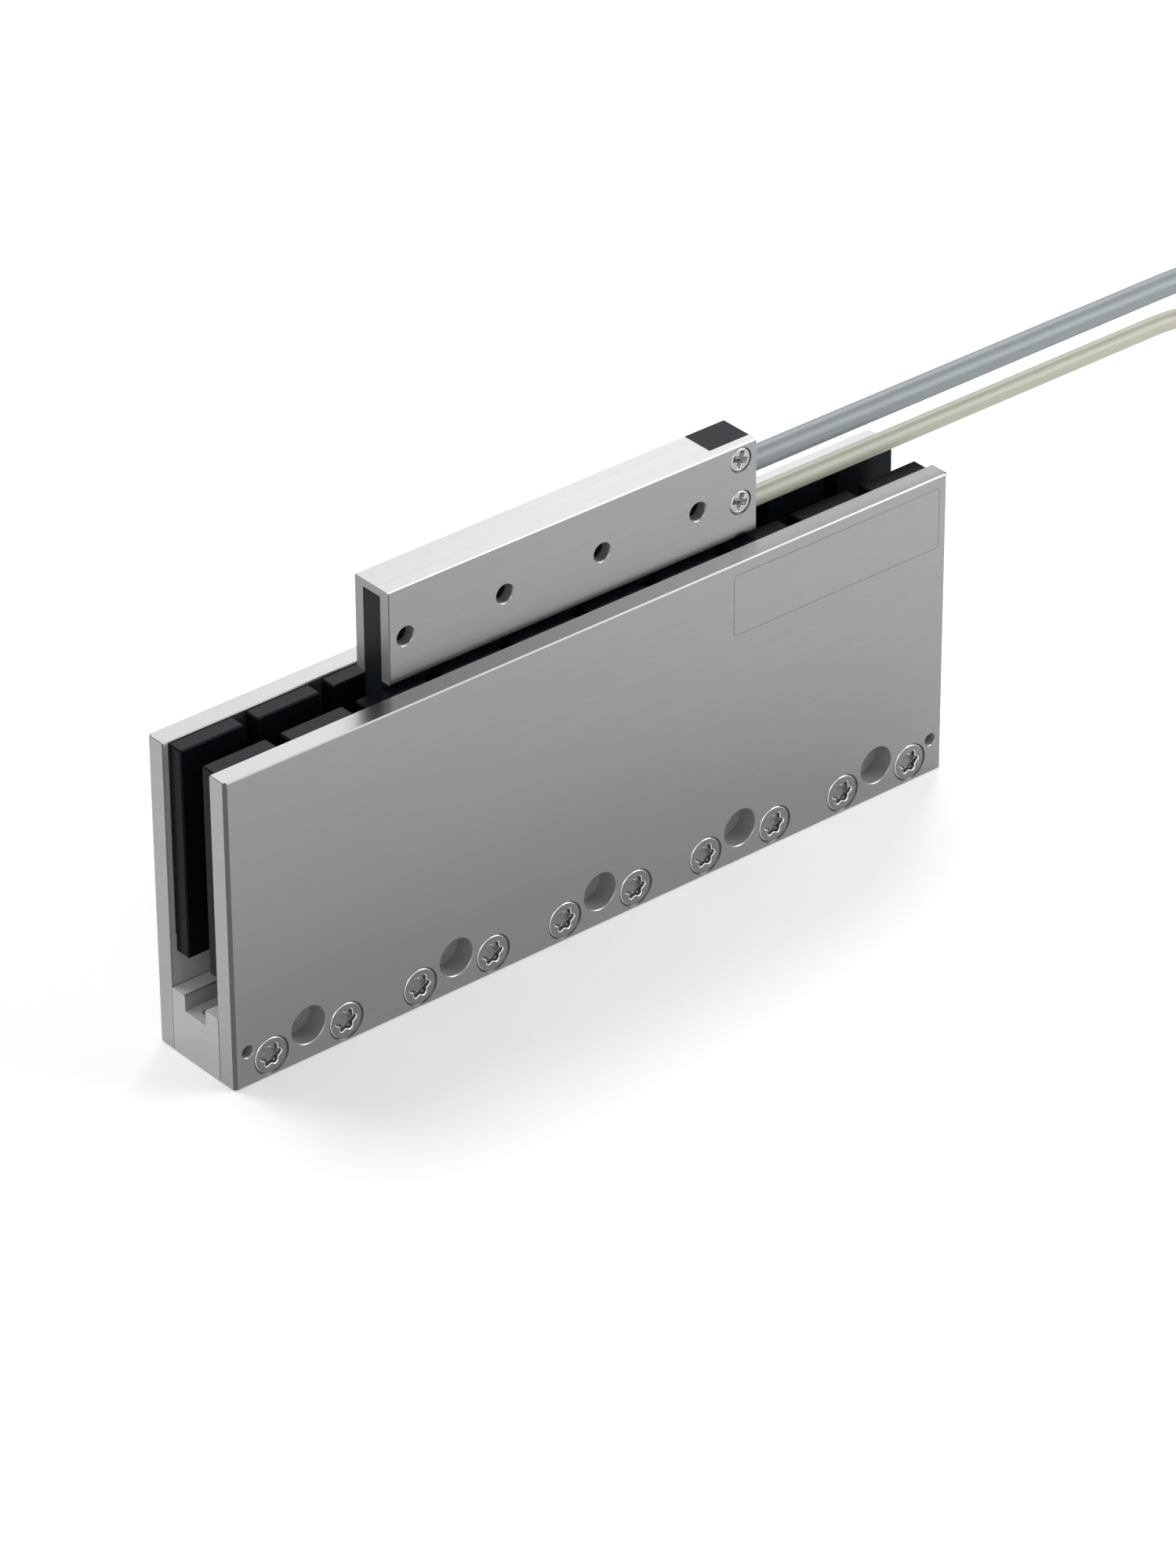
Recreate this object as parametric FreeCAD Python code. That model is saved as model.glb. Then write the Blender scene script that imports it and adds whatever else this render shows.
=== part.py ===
import FreeCAD, Part
import math
import os
from FreeCAD import Vector

# An ironless linear motor: a U-shaped magnet yoke, and a coil unit that slides in its air gap.
# X runs along the yoke, Y across it and Z up. The origin is the middle of the yoke's underside.
# All sizes are in millimetres.

# Magnet rows
MAGNETS_PER_ROW = 10
MAGNET_PITCH = 21.0
MAGNET_WIDTH = 17.4
MAGNET_THICKNESS = 4.5
MAGNET_CHAMFER = 0.35
AIR_GAP = 7.5

# Side plates
PLATE_HEIGHT = 79.5
PLATE_THICKNESS = 5.5
PLATE_END_MARGIN = 10.25
PLATE_CORNER_CHAMFER = 0.8
PLATE_EDGE_CHAMFER = 0.3
PLATE_OVER_MAGNET = 0.4

# Spacer bar between the plates
SPACER_HEIGHT = 16.7
SPACER_TO_MAGNET = 8.8
SPACER_CHAMFER = 0.3
GROOVE_WIDTH = 7.4
GROOVE_DEPTH = 4.1

# Countersunk screws that hold the plates to the spacer bar
PLATE_SCREW_DIAMETER = 5.0
PLATE_SCREW_HEAD = 9.4
PLATE_SCREW_LENGTH = 12.0
PLATE_SCREW_SOCKET = 5.6
PLATE_SCREW_SOCKET_DEPTH = 1.2
PLATE_SCREW_HEIGHT = 5.4
SOCKET_LOBES = 6
LOBE_RATIO = 0.72
SCREW_TIP_SHARE = 1 / 8
SCREW_SINK = 0.1
SCREW_FIT = 0.05
SCREW_TIP_ROOM = 1.0

# Holes that fasten the yoke to a machine
SIDE_HOLE_HEIGHT = 8.75
SIDE_HOLE_DIAMETER = 5.5
SIDE_HEAD_DIAMETER = 9.4
SIDE_HEAD_CHAMFER = 0.2
BASE_HOLE_DIAMETER = 4.2
BASE_HOLE_DEPTH = 8.0
BASE_HOLE_CHAMFER = 0.5
PIN_HOLE_DIAMETER = 3.0
PIN_HOLE_CHAMFER = 0.2
PIN_HOLE_HEIGHT = 9.0
PIN_HOLE_INSET = 3.8
PIN_HOLE_DEPTH = 9.5

# Coil unit
COILS = 3
POLES_PER_COIL = 4 / 3
BLADE_THICKNESS = 6.0
BLADE_SKIN = 0.6
BLADE_EDGE_CHAMFER = 0.4
BLADE_TO_GROOVE = 1.6
COIL_SPACING = 1.0
COIL_BUNDLE = 9.0
COIL_INNER_RADIUS = 3.0
COIL_BORDER = 1.5
COIL_TO_HOLE = 0.8
COIL_FIT = 0.05

# Aluminium housing over the top of the blade
HOUSING_TO_PLATE = 0.8
HOUSING_HEIGHT = 23.5
HOUSING_WALL = 2.75
HOUSING_TOP_WALL = 2.0
HOUSING_CHAMFER = 0.25
HOUSING_TO_COIL = 8.0
HOUSING_HOLE_DIAMETER = 4.5
HOUSING_HOLE_CHAMFER = 0.3
HOUSING_HOLE_HEIGHT = 10.9
HOUSING_HOLE_INSET = 4.7

# Circuit board and heat sensor, potted into the blade above the coils
BOARD_THICKNESS = 1.6
BOARD_MARGIN = 1.0
BOARD_END_MARGIN = 5.0
BOARD_FIT = 0.05
SENSOR_LENGTH = 6.0
SENSOR_HEIGHT = 2.6
SENSOR_THICKNESS = 2.0

# Cable block and its screws
BLOCK_LENGTH = 11.75
BLOCK_TO_COIL = 2.25
BLOCK_FRONT_WALL = 2.55
BLOCK_SCREW_DIAMETER = 3.0
BLOCK_SCREW_HEAD = 6.0
BLOCK_SCREW_LENGTH = 8.0
CROSS_REACH = 2.2
CROSS_WIDTH = 1.5
CROSS_DEPTH = 1.3
CROSS_BOTTOM_REACH = 0.8
CROSS_BOTTOM_WIDTH = 0.4
CROSS_TURN = 68.0
BLOCK_SCREW_INSET = 4.65
BLOCK_SCREW_DROP = 3.85
BLOCK_SCREW_PITCH = 10.9

# Cables
POWER_CABLE_DIAMETER = 5.8
POWER_CABLE_DROP = 10.0
POWER_CORE_DIAMETER = 1.6
SENSOR_CABLE_DIAMETER = 4.7
SENSOR_CABLE_DROP = 20.0
SENSOR_CORE_DIAMETER = 1.1
JACKET_WALL = 0.5
CORE_LENGTH = 25.0
ARC_SHARE = 0.45

# Put-away length of each cable: oblong turns on top of one another, held by one tie
HANK_STRAIGHT = 60.0
HANK_RADIUS = 18.9
HANK_LAYERS = 3
TURN_ROOM = 0.1
HANK_LEAD = 22.0
HANK_LAST_RUN = 30.0
HANK_START = 306.0
TIE_THICKNESS = 0.8
TIE_WIDTH = 10.0
TIE_ROOM = 0.2

# Two places closer than this are the same
TOLERANCE = 1e-6

# Worked out from the sizes above
YOKE_LENGTH = (MAGNETS_PER_ROW - 1) * MAGNET_PITCH + 2 * PLATE_END_MARGIN
SPACER_WIDTH = AIR_GAP + 2 * MAGNET_THICKNESS
YOKE_WIDTH = SPACER_WIDTH + 2 * PLATE_THICKNESS
MAGNET_BOTTOM = SPACER_HEIGHT + SPACER_TO_MAGNET
MAGNET_TOP = PLATE_HEIGHT - PLATE_OVER_MAGNET
GROOVE_FLOOR = SPACER_HEIGHT - GROOVE_DEPTH
COIL_PITCH = POLES_PER_COIL * MAGNET_PITCH
HOUSING_WIDTH = BLADE_THICKNESS + 2 * HOUSING_WALL
HOUSING_LENGTH = HOUSING_TO_COIL + COILS * COIL_PITCH + BLOCK_TO_COIL + BLOCK_LENGTH
HOUSING_BOTTOM = PLATE_HEIGHT + HOUSING_TO_PLATE
HOUSING_TOP = HOUSING_BOTTOM + HOUSING_HEIGHT
HOUSING_LEFT = -HOUSING_LENGTH / 2
HOUSING_RIGHT = HOUSING_LENGTH / 2
HOUSING_HOLE_Z = HOUSING_BOTTOM + HOUSING_HOLE_HEIGHT
CAVITY_TOP = HOUSING_TOP - HOUSING_TOP_WALL
BLOCK_LEFT = HOUSING_RIGHT - BLOCK_LENGTH
BLOCK_FRONT = -HOUSING_WIDTH / 2 + BLOCK_FRONT_WALL
BLADE_BOTTOM = GROOVE_FLOOR + BLADE_TO_GROOVE
CORE_THICKNESS = BLADE_THICKNESS - 2 * BLADE_SKIN
COIL_BOTTOM = BLADE_BOTTOM + COIL_BORDER
COIL_TOP = HOUSING_HOLE_Z - HOUSING_HOLE_DIAMETER / 2 - COIL_TO_HOLE
BOARD_BOTTOM = HOUSING_HOLE_Z + HOUSING_HOLE_DIAMETER / 2 + BOARD_MARGIN
BOARD_TOP = CAVITY_TOP - BOARD_MARGIN
CABLE_Y = (BLOCK_FRONT + HOUSING_WIDTH / 2) / 2
POWER_CABLE_Z = HOUSING_TOP - POWER_CABLE_DROP
SENSOR_CABLE_Z = HOUSING_TOP - SENSOR_CABLE_DROP
POWER_TURN = POWER_CABLE_DIAMETER + TURN_ROOM
SENSOR_TURN = SENSOR_CABLE_DIAMETER + TURN_ROOM
SENSOR_HANK_BOTTOM = TIE_THICKNESS
POWER_HANK_BOTTOM = SENSOR_HANK_BOTTOM + HANK_LAYERS * SENSOR_TURN + TIE_ROOM


def pattern(count, pitch):
    """Places of equally spaced features, centred on zero."""
    return [(k - (count - 1) / 2) * pitch for k in range(count)]


MAGNET_X = pattern(MAGNETS_PER_ROW, MAGNET_PITCH)
SIDE_HOLE_X = pattern(MAGNETS_PER_ROW // 2, 2 * MAGNET_PITCH)
BASE_HOLE_X = pattern(MAGNETS_PER_ROW // 2 - 1, 2 * MAGNET_PITCH)
PIN_HOLE_X = [side * (YOKE_LENGTH / 2 - PIN_HOLE_INSET) for side in (-1, 1)]
COIL_X = [HOUSING_LEFT + HOUSING_TO_COIL + (k + 0.5) * COIL_PITCH for k in range(COILS)]
HOUSING_HOLE_X = [HOUSING_LEFT + HOUSING_HOLE_INSET + k * COIL_PITCH for k in range(COILS + 1)]
BLOCK_SCREW_X = HOUSING_RIGHT - BLOCK_SCREW_INSET
BLOCK_SCREW_Z = [HOUSING_TOP - BLOCK_SCREW_DROP - k * BLOCK_SCREW_PITCH for k in range(2)]

# Where each free cable runs. It leaves the block straight, then bends down to its hank.
POWER_ROUTE = [
    (HOUSING_RIGHT, CABLE_Y, POWER_CABLE_Z),
    (200.0, CABLE_Y, POWER_CABLE_Z),
    (226.0, 3.2, 85.0),
    (245.0, 8.5, 64.5),
    (259.0, 14.6, 40.0),
    (279.0, HANK_RADIUS, 22.5),
    (HANK_START, HANK_RADIUS, POWER_HANK_BOTTOM + POWER_TURN / 2),
]
SENSOR_ROUTE = [
    (HOUSING_RIGHT, CABLE_Y, SENSOR_CABLE_Z),
    (196.0, CABLE_Y, SENSOR_CABLE_Z),
    (220.0, 0.2, 75.0),
    (237.5, -4.6, 53.5),
    (249.5, -11.1, 29.0),
    (266.0, -16.4, 12.0),
    (286.0, -HANK_RADIUS, 4.4),
    (HANK_START, -HANK_RADIUS, SENSOR_HANK_BOTTOM + SENSOR_TURN / 2),
]


def box(x0, x1, y0, y1, z0, z1):
    """A box between two corners."""
    return Part.makeBox(x1 - x0, y1 - y0, z1 - z0, Vector(x0, y0, z0))


def prism(points, along):
    """A closed outline of points, pushed along a vector."""
    outline = Part.makePolygon([Vector(*p) for p in points] + [Vector(*points[0])])
    return Part.Face(outline).extrude(Vector(*along))


def bar(profile, x0, x1):
    """A profile of (y, z) points, pushed along X from x0 to x1."""
    return prism([(x0, y, z) for y, z in profile], (x1 - x0, 0, 0))


def hole_along_y(x, z, diameter, y0, y1):
    """A round cutter between two places along Y."""
    return Part.makeCylinder(diameter / 2, abs(y1 - y0), Vector(x, min(y0, y1), z), Vector(0, 1, 0))


def cone_along_y(x, z, d0, d1, y0, y1):
    """A cone that has diameter d0 at y0 and d1 at y1."""
    step = Vector(0, y1 - y0, 0)
    return Part.makeCone(d0 / 2, d1 / 2, step.Length, Vector(x, y0, z), step)


def edges_at_height(shape, z):
    """The edges of a shape that lie flat at one height."""
    return [e for e in shape.Edges if all(abs(v.Z - z) < TOLERANCE for v in e.Vertexes)]


def chamfered_box(x0, x1, y0, y1, z0, z1, size):
    """A box with every edge chamfered."""
    block = box(x0, x1, y0, y1, z0, z1)
    return block.makeChamfer(size, block.Edges)


def save(shape, node):
    """Writes one piece to its own file."""
    shape.exportStep(f"parts/{node}.step")


def mouth_along_y(x, z, diameter, chamfer, face_y, inward):
    """A cutter for the chamfer where a hole along Y comes out of the face at face_y."""
    return cone_along_y(x, z, diameter + 2 * chamfer, diameter, face_y, face_y + inward * chamfer)


def counterhead(diameter, head):
    """The height of a countersunk head whose cone opens at a right angle."""
    return (head - diameter) / 2


def countersunk_hole(x, z, face_y, inward, diameter, head, depth):
    """A cutter for a countersunk screw whose head lies just under the face at face_y."""
    opening = head + 2 * (SCREW_SINK + SCREW_FIT)
    shaft = diameter + 2 * SCREW_FIT
    cone_depth = (opening - shaft) / 2
    cone = cone_along_y(x, z, opening, shaft, face_y, face_y + inward * cone_depth)
    shank = hole_along_y(x, z, shaft, face_y, face_y + inward * depth)
    return cone.fuse(shank)


def on_head(x, y, z, radius, degrees):
    """The place at a radius and an angle round the middle of a screw's head."""
    angle = math.radians(degrees)
    return Vector(x + radius * math.cos(angle), y, z + radius * math.sin(angle))


def lobed_socket(x, y, z, inward):
    """A cutter for a socket whose outline has as many round lobes as round valleys."""
    outer = PLATE_SCREW_SOCKET / 2
    inner = LOBE_RATIO * outer
    middle = (outer + inner) / 2
    turn = 180 / SOCKET_LOBES

    def arc(tip, degrees):
        low, high = (on_head(x, y, z, middle, degrees + side * turn / 2) for side in (-1, 1))
        return Part.Arc(low, on_head(x, y, z, tip, degrees), high).toShape()

    edges = []
    for k in range(SOCKET_LOBES):
        edges.append(arc(outer, 2 * k * turn))
        edges.append(arc(inner, (2 * k + 1) * turn))
    return Part.Face(Part.Wire(edges)).extrude(Vector(0, inward * PLATE_SCREW_SOCKET_DEPTH, 0))


def cross_outline(x, y, z, reach, width):
    """The outline of a cross recess at one depth."""
    tip, root = math.hypot(reach, width / 2), width / math.sqrt(2)
    spread = math.degrees(math.atan2(width / 2, reach))
    corners = []
    for k in range(4):
        along = 90 * k + CROSS_TURN
        corners += [on_head(x, y, z, tip, along - spread), on_head(x, y, z, tip, along + spread)]
        corners.append(on_head(x, y, z, root, along + 45))
    return Part.makePolygon(corners + corners[:1])


def cross_recess(x, y, z, inward):
    """A cutter for a cross recess whose wings narrow towards its bottom."""
    mouth = cross_outline(x, y, z, CROSS_REACH, CROSS_WIDTH)
    bottom = cross_outline(x, y + inward * CROSS_DEPTH, z, CROSS_BOTTOM_REACH, CROSS_BOTTOM_WIDTH)
    return Part.makeLoft([mouth, bottom], True, True)


def countersunk_screw(x, z, face_y, inward, diameter, head, length, recess):
    """A countersunk screw, its head sunk a little under the face; the recess function cuts its socket."""
    top = face_y + inward * SCREW_SINK
    cone_end = top + inward * counterhead(diameter, head)
    cone = cone_along_y(x, z, head, diameter, top, cone_end)
    tip_chamfer = diameter * SCREW_TIP_SHARE
    shank_end = face_y + inward * (length - tip_chamfer)
    shank = hole_along_y(x, z, diameter, cone_end, shank_end)
    tip_end = shank_end + inward * tip_chamfer
    tip = cone_along_y(x, z, diameter, diameter - 2 * tip_chamfer, shank_end, tip_end)
    return cone.fuse([shank, tip]).removeSplitter().cut(recess(x, top, z, inward))


def side_plate(side):
    """One steel side plate; side is -1 for the front and 1 for the rear."""
    inner, outer = side * SPACER_WIDTH / 2, side * YOKE_WIDTH / 2
    half, corner, edge = YOKE_LENGTH / 2, PLATE_CORNER_CHAMFER, PLATE_EDGE_CHAMFER
    outline = []
    for end in (-1, 1):
        ring = [
            (end * (half - edge), inner),
            (end * half, inner + side * edge),
            (end * half, outer - side * corner),
            (end * (half - corner), outer),
        ]
        outline += ring if end < 0 else ring[::-1]
    plate = prism([(x, y, 0) for x, y in outline], (0, 0, PLATE_HEIGHT))
    plate = plate.makeChamfer(edge, edges_at_height(plate, 0) + edges_at_height(plate, PLATE_HEIGHT))
    cutters = [plate_screw_hole(x, side) for x in MAGNET_X]
    rows = [
        (SIDE_HOLE_X, SIDE_HOLE_HEIGHT, SIDE_HEAD_DIAMETER, SIDE_HEAD_CHAMFER),
        (PIN_HOLE_X, PIN_HOLE_HEIGHT, PIN_HOLE_DIAMETER, PIN_HOLE_CHAMFER),
    ]
    for places, z, diameter, chamfer in rows:
        for x in places:
            cutters.append(hole_along_y(x, z, diameter, inner, outer))
            cutters.append(mouth_along_y(x, z, diameter, chamfer, outer, -side))
    return plate.cut(cutters)


def plate_screw_hole(x, side):
    """The countersunk hole of one plate screw, down to the room past its tip."""
    depth = PLATE_SCREW_LENGTH + SCREW_TIP_ROOM
    sizes = (PLATE_SCREW_DIAMETER, PLATE_SCREW_HEAD, depth)
    return countersunk_hole(x, PLATE_SCREW_HEIGHT, side * YOKE_WIDTH / 2, -side, *sizes)


def plate_screws(side):
    """The row of countersunk screws through one side plate."""
    sizes = (PLATE_SCREW_DIAMETER, PLATE_SCREW_HEAD, PLATE_SCREW_LENGTH, lobed_socket)
    face_y = side * YOKE_WIDTH / 2
    return Part.Compound([countersunk_screw(x, PLATE_SCREW_HEIGHT, face_y, -side, *sizes) for x in MAGNET_X])


def spacer_bar():
    """The grooved bar that holds the side plates apart."""
    half, groove, c = SPACER_WIDTH / 2, GROOVE_WIDTH / 2, SPACER_CHAMFER
    right = [
        (half - c, 0),
        (half, c),
        (half, SPACER_HEIGHT - c),
        (half - c, SPACER_HEIGHT),
        (groove + c, SPACER_HEIGHT),
        (groove, SPACER_HEIGHT - c),
        (groove, GROOVE_FLOOR),
    ]
    left = [(-y, z) for y, z in reversed(right)]
    bar_shape = bar(right + left, -YOKE_LENGTH / 2, YOKE_LENGTH / 2)
    cutters = [hole_along_y(x, SIDE_HOLE_HEIGHT, SIDE_HOLE_DIAMETER, -half, half) for x in SIDE_HOLE_X]
    cutters += [plate_screw_hole(x, side) for x in MAGNET_X for side in (-1, 1)]
    pin_depth = PIN_HOLE_DEPTH - PLATE_THICKNESS
    for x in PIN_HOLE_X:
        for side in (-1, 1):
            ends = (side * half, side * (half - pin_depth))
            cutters.append(hole_along_y(x, PIN_HOLE_HEIGHT, PIN_HOLE_DIAMETER, *ends))
        cutters.append(Part.makeCylinder(PIN_HOLE_DIAMETER / 2, GROOVE_FLOOR, Vector(x, 0, 0)))
    radius, mouth = BASE_HOLE_DIAMETER / 2, BASE_HOLE_DIAMETER / 2 + BASE_HOLE_CHAMFER
    for x in BASE_HOLE_X:
        cutters.append(Part.makeCylinder(radius, BASE_HOLE_DEPTH, Vector(x, 0, 0)))
        cutters.append(Part.makeCone(mouth, radius, BASE_HOLE_CHAMFER, Vector(x, 0, 0)))
    return bar_shape.cut(cutters)


def magnet(x, side):
    """One block magnet, bonded to the inside of a side plate."""
    ys = sorted((side * AIR_GAP / 2, side * SPACER_WIDTH / 2))
    half = MAGNET_WIDTH / 2
    return chamfered_box(x - half, x + half, *ys, MAGNET_BOTTOM, MAGNET_TOP, MAGNET_CHAMFER)


def coil_housing():
    """The inverted channel over the blade, with its side holes and the seat of the cable block."""
    outer, inner, c = HOUSING_WIDTH / 2, BLADE_THICKNESS / 2, HOUSING_CHAMFER
    right = [
        (inner, HOUSING_BOTTOM),
        (outer - c, HOUSING_BOTTOM),
        (outer, HOUSING_BOTTOM + c),
        (outer, HOUSING_TOP - c),
        (outer - c, HOUSING_TOP),
    ]
    left = [(-y, z) for y, z in reversed(right)]
    profile = [(inner, CAVITY_TOP)] + right + left + [(-inner, CAVITY_TOP)]
    channel = bar(profile, HOUSING_LEFT, HOUSING_RIGHT)
    cutters = [box(BLOCK_LEFT, HOUSING_RIGHT, BLOCK_FRONT, outer, HOUSING_BOTTOM, HOUSING_TOP)]
    cutters += [block_screw_hole(z) for z in BLOCK_SCREW_Z]
    for x in HOUSING_HOLE_X:
        cutters.append(hole_along_y(x, HOUSING_HOLE_Z, HOUSING_HOLE_DIAMETER, -outer, outer))
        for side in (-1, 1):
            mouth = (HOUSING_HOLE_DIAMETER, HOUSING_HOLE_CHAMFER, side * outer, -side)
            cutters.append(mouth_along_y(x, HOUSING_HOLE_Z, *mouth))
    return channel.cut(cutters)


def block_screw_hole(z):
    """The countersunk hole of one cable block screw."""
    depth = BLOCK_SCREW_LENGTH + SCREW_TIP_ROOM / 2
    sizes = (BLOCK_SCREW_DIAMETER, BLOCK_SCREW_HEAD, depth)
    return countersunk_hole(BLOCK_SCREW_X, z, -HOUSING_WIDTH / 2, 1, *sizes)


def block_screws():
    """The two countersunk screws that hold the cable block."""
    sizes = (BLOCK_SCREW_DIAMETER, BLOCK_SCREW_HEAD, BLOCK_SCREW_LENGTH, cross_recess)
    face_y = -HOUSING_WIDTH / 2
    return Part.Compound([countersunk_screw(BLOCK_SCREW_X, z, face_y, 1, *sizes) for z in BLOCK_SCREW_Z])


def cable_block():
    """The plastic block that closes the end of the housing and holds both cables."""
    outer, c = HOUSING_WIDTH / 2, HOUSING_CHAMFER
    profile = [
        (BLOCK_FRONT, HOUSING_BOTTOM),
        (outer - c, HOUSING_BOTTOM),
        (outer, HOUSING_BOTTOM + c),
        (outer, HOUSING_TOP - c),
        (outer - c, HOUSING_TOP),
        (BLOCK_FRONT, HOUSING_TOP),
    ]
    return bar(profile, BLOCK_LEFT, HOUSING_RIGHT).cut([block_screw_hole(z) for z in BLOCK_SCREW_Z])


def blade_layer(y0, y1):
    """One layer of the blade between two places along Y, with the housing's side holes through it."""
    outline = [
        (HOUSING_LEFT, y0, BLADE_BOTTOM),
        (HOUSING_RIGHT, y0, BLADE_BOTTOM),
        (HOUSING_RIGHT, y0, HOUSING_BOTTOM),
        (BLOCK_LEFT, y0, HOUSING_BOTTOM),
        (BLOCK_LEFT, y0, CAVITY_TOP),
        (HOUSING_LEFT, y0, CAVITY_TOP),
    ]
    holes = [hole_along_y(x, HOUSING_HOLE_Z, HOUSING_HOLE_DIAMETER, y0, y1) for x in HOUSING_HOLE_X]
    return prism(outline, (0, y1 - y0, 0)).cut(holes)


def blade_skin(side):
    """The outer layer of the blade on one side, with a chamfer along its lower edge."""
    outer, inner = side * BLADE_THICKNESS / 2, side * CORE_THICKNESS / 2
    skin = blade_layer(*sorted((inner, outer)))
    bottom = edges_at_height(skin, BLADE_BOTTOM)
    lower = [e for e in bottom if all(abs(v.Y - outer) < TOLERANCE for v in e.Vertexes)]
    return skin.makeChamfer(BLADE_EDGE_CHAMFER, lower)


def rounded_plate(x, width, z0, z1, radius, y0, y1):
    """An upright plate with rounded corners, centred on x."""
    plate = box(x - width / 2, x + width / 2, y0, y1, z0, z1)
    corners = [e for e in plate.Edges if abs(e.Vertexes[0].Y - e.Vertexes[1].Y) > TOLERANCE]
    return plate.makeFillet(radius, corners)


def coil_outline(x, inset):
    """The filled outline of one coil, drawn in by an inset all round."""
    half = CORE_THICKNESS / 2
    width = COIL_PITCH - COIL_SPACING - 2 * inset
    radius = COIL_INNER_RADIUS + COIL_BUNDLE - inset
    return rounded_plate(x, width, COIL_BOTTOM + inset, COIL_TOP - inset, radius, -half, half)


def coil_winding(x):
    """One flat copper coil with a long oval opening."""
    return coil_outline(x, 0).cut(coil_outline(x, COIL_BUNDLE))


def coil_former(x):
    """The filler that the coil is wound on."""
    return coil_outline(x, COIL_BUNDLE + COIL_FIT)


def terminal_board(grown):
    """The board that joins the coils to the power cable, set into the back of the blade's core."""
    back = CORE_THICKNESS / 2
    x0 = HOUSING_LEFT + BOARD_END_MARGIN - grown
    x1 = BLOCK_LEFT - BOARD_END_MARGIN + grown
    return box(x0, x1, back - BOARD_THICKNESS, back, BOARD_BOTTOM - grown, BOARD_TOP + grown)


def temperature_sensor(grown):
    """The small heat sensor over the middle coil, set into the back of the blade's core."""
    x, back = COIL_X[COILS // 2], CORE_THICKNESS / 2
    half, middle = SENSOR_LENGTH / 2 + grown, SENSOR_HEIGHT / 2 + grown
    sides = (x - half, x + half, back - SENSOR_THICKNESS, back)
    return box(*sides, HOUSING_HOLE_Z - middle, HOUSING_HOLE_Z + middle)


def blade_core():
    """The potted middle layer of the blade, with a window for each coil and pockets for the electronics."""
    half = CORE_THICKNESS / 2
    cutters = [coil_outline(x, -COIL_FIT) for x in COIL_X]
    cutters += [terminal_board(BOARD_FIT), temperature_sensor(BOARD_FIT)]
    return blade_layer(-half, half).cut(cutters)


def cord_wire(points):
    """A route of straight runs that are joined by tangent arcs; prints the arcs' radii."""
    corners = [Vector(*p) for p in points]
    edges, start, length, radii = [], corners[0], 0.0, []
    for before, corner, after in zip(corners, corners[1:], corners[2:]):
        inward, outward = (corner - before).normalize(), (after - corner).normalize()
        turn = inward.getAngle(outward)
        tangent = ARC_SHARE * min(corner.distanceToPoint(before), corner.distanceToPoint(after))
        radius = tangent / math.tan(turn / 2)
        radii.append(round(radius, 1))
        arc_start, arc_end = corner - inward * tangent, corner + outward * tangent
        bisector = (outward - inward).normalize()
        middle = corner + bisector * (radius / math.cos(turn / 2) - radius)
        edges.append(Part.LineSegment(start, arc_start).toShape())
        edges.append(Part.Arc(arc_start, middle, arc_end).toShape())
        length += start.distanceToPoint(arc_start) + radius * turn
        start = arc_end
    edges.append(Part.LineSegment(start, corners[-1]).toShape())
    length += start.distanceToPoint(corners[-1])
    print("radii", radii, "length", round(length, 1))
    return Part.Wire(edges), length


def cord_tube(points, diameter):
    """A round cable along a route; prints how its volume compares with its section times its length."""
    path, length = cord_wire(points)
    start, ahead = Vector(*points[0]), Vector(*points[1]) - Vector(*points[0])
    ring = Part.Wire(Part.Circle(start, ahead, diameter / 2).toShape())
    tube = path.makePipeShell([ring], True, False)
    expected = math.pi * diameter**2 / 4 * length
    print("volume", round(tube.Volume, 1), "expected", round(expected, 1), "valid", tube.isValid())
    return tube


def oblong(radius, z0, z1):
    """A filled oblong with its straight sides along X and round ends of the given radius."""
    x0 = HANK_START + HANK_LEAD
    x1 = x0 + HANK_STRAIGHT
    body = box(x0, x1, -radius, radius, z0, z1)
    ends = [Part.makeCylinder(radius, z1 - z0, Vector(x, 0, z0)) for x in (x0, x1)]
    return body.fuse(ends).removeSplitter()


def hank(bottom, entry, diameter):
    """The outer form of one cable's turns; entry is the side, -1 or 1, on which the cable comes in."""
    turn = diameter + TURN_ROOM
    top = bottom + HANK_LAYERS * turn
    last = top - turn
    half = diameter / 2
    turns = oblong(HANK_RADIUS + half, bottom, top).cut(oblong(HANK_RADIUS - half, bottom, top))
    x0, x1 = HANK_START, HANK_START + HANK_LEAD + HANK_STRAIGHT - HANK_LAST_RUN
    # The last turn stops part of the way along the side across from the entry.
    width = HANK_RADIUS + diameter
    far = sorted((0, -entry * width))
    near = sorted((0, entry * width))
    open_end = box(x0, x1, *far, last, top).fuse(box(x0, HANK_START + HANK_LEAD, *near, last, top))
    lead_start = Vector(x0, entry * HANK_RADIUS, bottom + turn / 2)
    lead = Part.makeCylinder(half, HANK_LEAD, lead_start, Vector(1, 0, 0))
    return turns.cut(open_end).fuse(lead).removeSplitter()


def bare_cores(bottom, entry, diameter, core_diameter):
    """The stripped conductors that stick out of a cable's end, four in a bundle."""
    x = HANK_START + HANK_LEAD + HANK_STRAIGHT - HANK_LAST_RUN
    y = -entry * HANK_RADIUS
    z = bottom + (HANK_LAYERS - 0.5) * (diameter + TURN_ROOM)
    radius = core_diameter / 2
    spread = (diameter / 2 - JACKET_WALL - radius) / math.sqrt(2)
    cores = []
    for dy in (-spread, spread):
        for dz in (-spread, spread):
            end = Vector(x, y + dy, z + dz)
            cores.append(Part.makeCylinder(radius, CORE_LENGTH, end, Vector(-1, 0, 0)))
    return Part.Compound(cores)


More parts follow.
